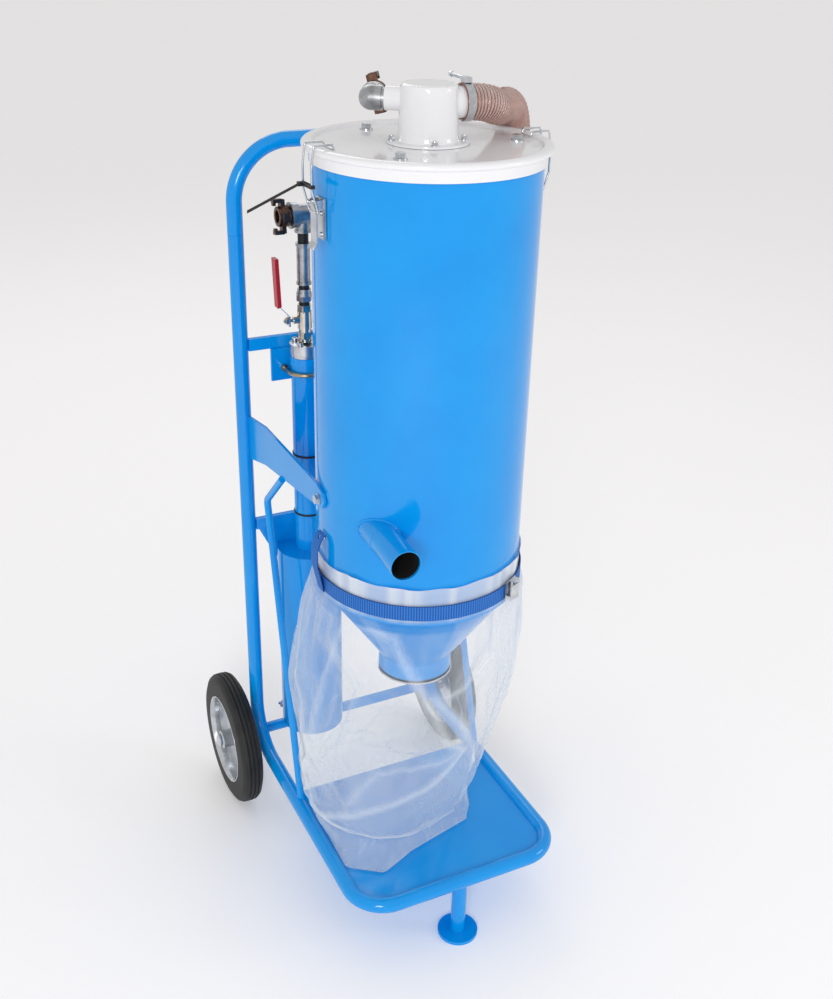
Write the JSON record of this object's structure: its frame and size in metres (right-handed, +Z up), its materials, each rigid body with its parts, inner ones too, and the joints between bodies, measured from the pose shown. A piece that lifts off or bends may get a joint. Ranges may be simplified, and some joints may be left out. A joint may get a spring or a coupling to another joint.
{
  "type": "trolley dust collector",
  "caption": "Upright drum dust collector on a two-wheeled tubular trolley, with a compressed-air ejector, suction hose, white latched lid and clear film collecting bag.",
  "frame": {"origin": "middle of the footprint on the ground: centre of the bounding box in X and Y, Z = 0 at the floor", "axes": "+Z up, -Y the front where the suction inlet points, +X to the right of the machine seen from the front"},
  "size_m": [0.517, 0.6654, 1.3643],
  "materials": {
    "blue_paint": "glossy",
    "white_paint": "glossy",
    "zinc_steel": "bright zinc",
    "galvanised": "hot-dip galvanised",
    "black_steel": "black",
    "brass": "dull",
    "nickel": "nickel plated",
    "aluminium": "machined",
    "yellow_zinc": "yellow zinc",
    "tyre_rubber": "matt",
    "seal_rubber": "matt",
    "nylon": "matt",
    "black_nylon": "satin",
    "red_vinyl": "satin",
    "film": "clear film",
    "hose_plastic": "clear",
    "webbing": "woven",
    "filter_cloth": "matt",
    "foam": "matt"
  },
  "bodies": {
    "machine": {"air_coupling": "brass", "axle": "blue_paint", "axle_caps": "zinc_steel", "bag": "film", "base_bends": "blue_paint", "base_hoop": "blue_paint", "black_nipples": "black_steel", "bolts": "zinc_steel", "brace_rods": "blue_paint", "buckle_frame": "zinc_steel", "cross_rails": "blue_paint", "drum_shell": "blue_paint", "ejector_head": "aluminium", "ejector_nozzle": "brass", "ejector_tube": "blue_paint", "filter_bolts": "zinc_steel", "filter_medium": "filter_cloth", "filter_plates": "zinc_steel", "flap_pin": "zinc_steel", "frame_plates": "blue_paint", "front_foot": "blue_paint", "galvanised_fittings": "galvanised", "handle_hoop": "blue_paint", "hopper_cone": "blue_paint", "hose_clamps": "zinc_steel", "inlet_tube": "blue_paint", "latch_bases": "zinc_steel", "lid": "white_paint", "outlet_collar": "blue_paint", "purge_coupling": "brass", "purge_elbow": "galvanised", "seals": "seal_rubber", "silencer_can": "blue_paint", "silencer_foam": "foam", "strap": "webbing", "strap_loops": "webbing", "suction_hose": "hose_plastic", "support_arms": "blue_paint", "tray": "blue_paint", "turret": "white_paint", "turret_nuts": "zinc_steel", "u_bolt": "yellow_zinc", "uprights": "blue_paint", "valve_body": "nickel"},
    "wheel_left": {"tyre_left": "tyre_rubber", "rim_left": "zinc_steel", "bush_left": "nylon"},
    "wheel_right": {"tyre_right": "tyre_rubber", "rim_right": "zinc_steel", "bush_right": "nylon"},
    "valve": {"valve_ball": "nickel", "valve_lever": "zinc_steel", "lever_sleeve": "red_vinyl"},
    "latch_left_lever": {"latch_lever_left": "zinc_steel"},
    "latch_left_bail": {"bail_left": "zinc_steel", "cable_tie": "black_nylon"},
    "latch_right_lever": {"latch_lever_right": "zinc_steel"},
    "latch_right_bail": {"bail_right": "zinc_steel"},
    "strap_buckle": {"buckle_lever": "zinc_steel"},
    "flap": {"discharge_flap": "zinc_steel"}
  },
  "joints": [
    {"name": "wheel_left_spin", "type": "hinge", "parent": "machine", "child": "wheel_left", "pos_m": [-0.225, 0.20775, 0.125], "axis": [1, 0, 0], "continuous": true},
    {"name": "wheel_right_spin", "type": "hinge", "parent": "machine", "child": "wheel_right", "pos_m": [0.225, 0.20775, 0.125], "axis": [1, 0, 0], "continuous": true},
    {"name": "valve_turn", "type": "hinge", "parent": "machine", "child": "valve", "pos_m": [-0.083, 0.15225, 0.962], "axis": [-1, 0, 0], "range_deg": [0, 90]},
    {"name": "latch_left_open", "type": "hinge", "parent": "machine", "child": "latch_left_lever", "pos_m": [-0.17158, -0.12175, 1.213], "axis": [-0.0698, 0.9976, 0], "range_deg": [0, 120]},
    {"name": "latch_left_bail_turn", "type": "hinge", "parent": "latch_left_lever", "child": "latch_left_bail", "pos_m": [-0.17158, -0.12175, 1.203], "axis": [-0.0698, 0.9976, 0], "range_deg": [-120, 0]},
    {"name": "latch_right_open", "type": "hinge", "parent": "machine", "child": "latch_right_lever", "pos_m": [0.17158, -0.12175, 1.213], "axis": [-0.0698, -0.9976, 0], "range_deg": [0, 120]},
    {"name": "latch_right_bail_turn", "type": "hinge", "parent": "latch_right_lever", "child": "latch_right_bail", "pos_m": [0.17158, -0.12175, 1.203], "axis": [-0.0698, -0.9976, 0], "range_deg": [-120, 0]},
    {"name": "buckle_open", "type": "hinge", "parent": "machine", "child": "strap_buckle", "pos_m": [0.09896, -0.25295, 0.631], "axis": [0, 0, 1], "range_deg": [0, 60]},
    {"name": "flap_open", "type": "hinge", "parent": "machine", "child": "flap", "pos_m": [0, -0.04175, 0.434], "axis": [1, 0, 0], "range_deg": [0, 70]}
  ],
  "couplings": [
    {"joint": "latch_left_bail_turn", "follows": "latch_left_open", "ratio": -1},
    {"joint": "latch_right_bail_turn", "follows": "latch_right_open", "ratio": -1}
  ]
}
